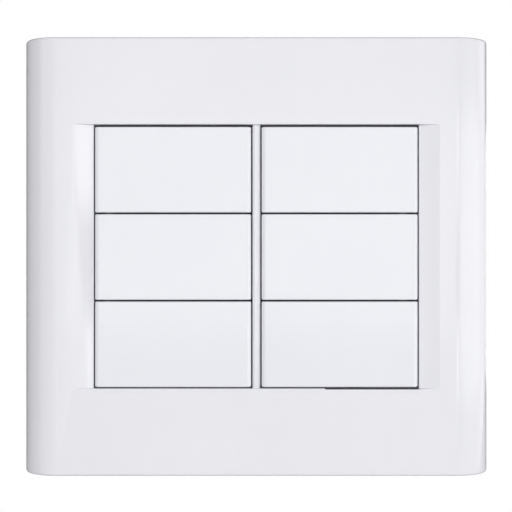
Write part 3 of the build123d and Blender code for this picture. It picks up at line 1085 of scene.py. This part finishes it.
@dataclass
class ModuleHousing(SubAssembly):
    """Box of a switch module: leg grooves, nub windows, seat block and funnelled inlets."""

    finish: ClassVar[Finish] = Palette.HOUSING
    material_slot: ClassVar[str] = "housing_grey"

    half_x: float = 18.4
    half_z: float = 10.93
    top: float = 1.8
    back: float = -20.9605
    floor: float = -18.0605
    wall: float = 1.4
    bevel: Round = (0.6, 3)
    edge_round: float = 0.12
    groove_x: float = 17.6
    groove_bottom: float = -5.55
    groove_half: float = 4.05
    nub_low: float = -4.95
    nub_high: float = -3.65
    nub_half: float = 1.85
    inlet_x: float = 13.7
    inlet_z: float = 1.6
    inlet_half: float = 1.2
    funnel: float = 0.35
    mouth_depth: float = 0.9
    seat_start: float = -2.0
    seat_end: float = 11.0
    seat_top: float = -13.0605
    seat_half: float = 2.4
    panel_x: float = 8.6
    panel_z: float = 7.4
    panel_depth: float = 0.3
    panel_corner: Round = (1.0, 5)
    grip_steps: range = range(-2, 3)
    grip_pitch: float = 5.6
    grip_half: float = 0.6
    grip_depth: float = 0.25
    grip_margin: float = 3.0
    grip_corner: Round = (0.5, 4)

    def build(self) -> list[Piece]:
        """Models one housing and copies it to each place.

        Returns:
            The finished housings, riding on the wall unit.
        """
        body = Bench.slab("box", self.half_x, (self.back, self.top), self.half_z)
        Bench.round_edges(body, self.bevel, runs(Axis.Y))
        for tool, cut in self._features():
            Bench.combine(body, tool, cut)
        Bench.soften(body, self.edge_round)
        Bench.finish(body)
        return self.spread(body, "module_box_{}", "wall_unit", "housing_{}")

    def _features(self) -> Iterator[Step]:
        """Inside, seat, panel, grooves, nub windows, inlets and grips, in the order of the work.

        Yields:
            Each tool shape with what it does.
        """
        out_x, in_x = self.half_x + PAST, self.half_x - self.wall
        past = self.top + PAST
        inside = Bench.slab("inside", in_x, (self.floor, past), self.half_z - self.wall)
        yield inside, Cut.REMOVE
        seat_x, seat_z = (self.seat_start, self.seat_end), (-self.seat_half, self.seat_half)
        seat = Bench.block("seat", seat_x, (self.floor - BITE, self.seat_top), seat_z)
        yield seat, Cut.ADD
        panel_front = (self.back - PAST, self.back + self.panel_depth)
        panel = Bench.slab("panel", self.panel_x, panel_front, self.panel_z)
        yield Bench.round_edges(panel, self.panel_corner, runs(Axis.Y)), Cut.REMOVE
        groove_z = (-self.groove_half, self.groove_half)
        nub_z = (-self.nub_half, self.nub_half)
        for side in SIDES:
            x = (side * self.groove_x, side * out_x)
            yield Bench.block("groove", x, (self.groove_bottom, past), groove_z), Cut.REMOVE
            x = (side * (in_x - BITE), side * out_x)
            yield Bench.block("nub", x, (self.nub_low, self.nub_high), nub_z), Cut.REMOVE
            for z in (-self.inlet_z, self.inlet_z):
                yield from self._inlet((side * self.inlet_x, z))
            yield from self._grips(side)

    def _inlet(self, at: Span) -> Iterator[Step]:
        """Square wire inlet, and its mouth that widens towards the back.

        Args:
            at: Middle of the inlet, as X and Z.

        Yields:
            The inlet and its mouth, with what they do.
        """
        half = self.inlet_half
        front = (self.back - PAST, self.floor + PAST)
        yield Bench.slab("inlet", half, front, half, at), Cut.REMOVE
        wide, deep = half + self.funnel, self.back + self.mouth_depth
        slant = (BITE + self.mouth_depth) * self.funnel
        mouth = Bench.slab("mouth", wide, (self.back - BITE, deep), wide, at)
        for side in SIDES:
            for axis, middle in zip((Axis.X, Axis.Z), at):
                Bench.taper(mouth, axis, middle + side * wide, deep, -side * slant)
        yield mouth, Cut.REMOVE

    def _grips(self, side: int) -> Iterator[Step]:
        """Shallow grip grooves on one long side of the box.

        Args:
            side: -1 for the lower side, 1 for the upper one.

        Yields:
            Each groove with what it does.
        """
        front = (self.back + self.grip_margin, -self.grip_margin)
        z = (side * (self.half_z - self.grip_depth), side * (self.half_z + PAST))
        for step in self.grip_steps:
            x = step * self.grip_pitch
            groove = Bench.block("grip", (x - self.grip_half, x + self.grip_half), front, z)
            yield Bench.round_edges(groove, self.grip_corner, runs(Axis.Z)), Cut.REMOVE


@dataclass
class ModuleInsides:
    """Pieces inside each module, which keep their CAD shape and get softened edges."""

    soft_plastic: float = 0.09
    soft_metal: float = 0.06
    weld: float = 1e-3
    flat_degrees: float = 1.0

    def dress(self) -> None:
        """Gives every inner piece its finish and slightly rounded edges."""
        finishes = {
            "yoke": (Palette.YOKE, self.soft_plastic),
            "plunger": (Palette.PLUNGER, self.soft_plastic),
            "plunger_spring": (Palette.SPRING, 0.0),
            "contact_bridge": (Palette.BRIDGE, self.soft_metal),
            "common_terminal": (Palette.TERMINAL, self.soft_metal),
            "load_terminal": (Palette.TERMINAL, self.soft_metal),
            "clamp_springs": (Palette.SPRING, self.soft_metal),
        }
        for place in SubAssembly.LAYOUT.places():
            for kind, (finish, width) in finishes.items():
                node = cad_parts[f"{kind}_{place.name}"]
                finish.dress(node)
                if width:
                    self._soften(node, width * MM)
            log.info("insides of %s dressed", place.name)

    def _soften(self, node: Piece, width: float) -> None:
        """Adds modifiers that weld a CAD node's triangles and round its sharp edges.

        Args:
            node: The CAD node, whose mesh stays as it is.
            width: Width of the rounding, in metres.
        """
        Bench.arrange(node.modifiers.new("weld", "WELD"), merge_threshold=self.weld * MM)
        flat = {"decimate_type": "DISSOLVE", "angle_limit": math.radians(self.flat_degrees)}
        Bench.arrange(node.modifiers.new("flat", "DECIMATE"), **flat)
        Bench.arrange(node.modifiers.new("soft", "BEVEL"), width=width, **Bench.SOFT)


@dataclass(frozen=True)
class Softbox:
    """Rectangular studio lamp. Sizes are in metres and the power is in watts."""

    PANEL_Y: ClassVar[float] = -1.0

    name: str
    place: Triple
    width: float
    height: float
    power: float
    glare: bool = False
    aim: Triple = (0.0, 0.0, 0.0)

    @classmethod
    def panel(
        cls, name: str, x: float, z: float, width: float, height: float, power: float
    ) -> "Softbox":
        """Lamp in front of the plate that faces straight back and shows in the gloss."""
        return cls(name, (x, cls.PANEL_Y, z), width, height, power, True, (x, 0.0, z))

    def build(self) -> None:
        """Sets the lamp up."""
        Bench.clear()
        bpy.ops.object.light_add(type="AREA", location=self.place)
        lamp = Bench.added(self.name)
        lamp.data.shape = "RECTANGLE"
        lamp.data.size = self.width
        lamp.data.size_y = self.height
        lamp.data.energy = self.power
        lamp.visible_glossy = self.glare
        way = Vector(self.aim) - Vector(self.place)
        lamp.rotation_euler = way.to_track_quat("-Z", "Y").to_euler()
        log.info("lamp %s at %.2f W", self.name, self.power)


@dataclass(frozen=True)
class DarkCard:
    """Dark card between two edges along an axis, which shows in gloss and not to the camera."""

    name: str
    axis: Axis
    span: Span
    near: Span
    far: Span
    shades: bool = False

    def build(self) -> None:
        """Sets the card up."""
        Bench.clear()
        bpy.ops.mesh.primitive_plane_add(size=1.0)
        card = Bench.added(self.name)
        order = sorted(card.data.vertices, key=lambda vertex: (vertex.co.x, vertex.co.y))
        for vertex, (edge, along) in zip(order, product((self.near, self.far), self.span)):
            corner = list(edge)
            corner.insert(self.axis, along)
            vertex.co = corner
        Palette.CARD.dress(card)
        card.visible_camera = False
        card.visible_diffuse = self.shades
        card.visible_shadow = self.shades
        log.info("%s set up", self.name)


@dataclass
class Studio:
    """Camera, lamps, white surroundings, dark cards and a pale floor, in metres."""

    CARDS: ClassVar[tuple[DarkCard, ...]] = (
        DarkCard("left_card", Axis.Z, (-0.35, 0.35), (-0.36, -0.14), (-0.10, 0.5), shades=True),
        DarkCard("scoop_card", Axis.Z, (-0.07, 0.05), (0.24, -1.0), (0.36, -1.0)),
        DarkCard("upper_card", Axis.X, (-0.6, 0.6), (0.1, 0.35), (0.6, 0.1)),
        DarkCard("lower_card", Axis.X, (-0.6, 0.6), (0.03, -0.15), (0.6, -0.1)),
    )
    LAMPS: ClassVar[tuple[Softbox, ...]] = (
        Softbox("right_high", (0.847, -0.489, 0.208), 0.4, 0.3, 1.82),
        Softbox("side_high", (0.945, -0.253, 0.208), 0.4, 0.3, 1.18),
        Softbox("left_front", (-0.749, -0.629, 0.208), 0.4, 0.3, 2.95),
        Softbox("left_side", (-0.887, -0.413, 0.208), 0.4, 0.3, 0.9),
        Softbox("right_low", (0.857, -0.515, 0.0), 1.35, 0.3, 2.4, glare=True),
        Softbox("right_edge", (0.966, 0.259, 0.0), 0.5, 0.5, 0.58, glare=True),
        Softbox.panel("front_top", 0.005, 0.2, 0.42, 0.12, 0.222),
        Softbox.panel("front_middle", 0.005, 0.032, 0.42, 0.216, 0.542),
        Softbox.panel("front_bottom", 0.005, -0.168, 0.42, 0.184, 0.17),
        Softbox.panel("scoop_upper", 0.3, 0.105, 0.12, 0.11, 0.17),
        Softbox.panel("scoop_lower", 0.3, -0.115, 0.12, 0.09, 0.139),
        Softbox.panel("scoop_left", -0.3, 0.0, 0.12, 0.32, 0.097),
        Softbox("rear_fill", (0.0, 1.0, 0.05), 0.8, 0.5, 7.0),
        Softbox("rear_high", (0.0, 0.85, 0.55), 0.8, 0.5, 5.0),
    )

    distance: float = 0.330
    front: float = 0.010
    aside: float = -0.0001
    above: float = 0.00013
    lens: float = 88.69
    sensor: float = 36.0
    clip: Span = (0.01, 20.0)
    floor_z: float = -0.16
    floor_sides: int = 96
    ambient: float = 0.41
    ambient_behind: float = 0.14
    ambient_turn: Span = (-0.9, 0.1)

    def build(self) -> None:
        """Sets the whole studio up."""
        self._camera()
        self._world()
        self._floor()
        for item in (*self.CARDS, *self.LAMPS):
            item.build()
        bpy.context.scene.view_settings.view_transform = "Standard"

    def _camera(self) -> None:
        """Camera straight in front of the plate."""
        Bench.clear()
        place = (self.aside, -self.front - self.distance, self.above)
        bpy.ops.object.camera_add(location=place, rotation=(math.pi / 2, 0.0, 0.0))
        camera = Bench.added("camera")
        camera.data.sensor_width = self.sensor
        camera.data.lens = self.lens
        camera.data.clip_start, camera.data.clip_end = self.clip
        bpy.context.scene.camera = camera
        log.info("camera %.0f mm in front of the plate", self.distance / MM)

    def _world(self) -> None:
        """Surroundings that look white and give an even, weaker light."""
        world = bpy.data.worlds.new("white_studio")
        world.use_nodes = True
        bpy.context.scene.world = world
        graph = Graph(world.node_tree)
        way = graph.node("ShaderNodeTexCoord", output="Generated")
        behind = graph.y_of(way).step(*self.ambient_turn)
        soft = self.ambient - (self.ambient - self.ambient_behind) * behind
        level = soft + (1.0 - soft) * graph.seen()
        shine = graph.node("ShaderNodeBackground", {}, {"Color": WHITE, "Strength": level})
        graph.end(shine)

    def _floor(self) -> None:
        """Round pale floor below the plate, too far down for the camera to see."""
        Bench.clear()
        bpy.ops.mesh.primitive_circle_add(
            vertices=self.floor_sides,
            radius=Palette.FLOOR.radius,
            fill_type="NGON",
            location=(0.0, 0.0, self.floor_z),
        )
        floor = Bench.added("floor")
        Palette.FLOOR.dress(floor)
        log.info("floor %.0f mm below the plate's middle", -self.floor_z / MM)


def main() -> None:
    """Builds and dresses the plate and sets up the studio."""
    logging.basicConfig(level=logging.INFO, format="%(message)s")
    for part in (CoverPlate(), RockerKey(), MountingFrame(), ModuleHousing()):
        part.dress(part.build())
    ModuleInsides().dress()
    Studio().build()

    bpy.context.view_layer.update()


if __name__ == "__main__":
    main()
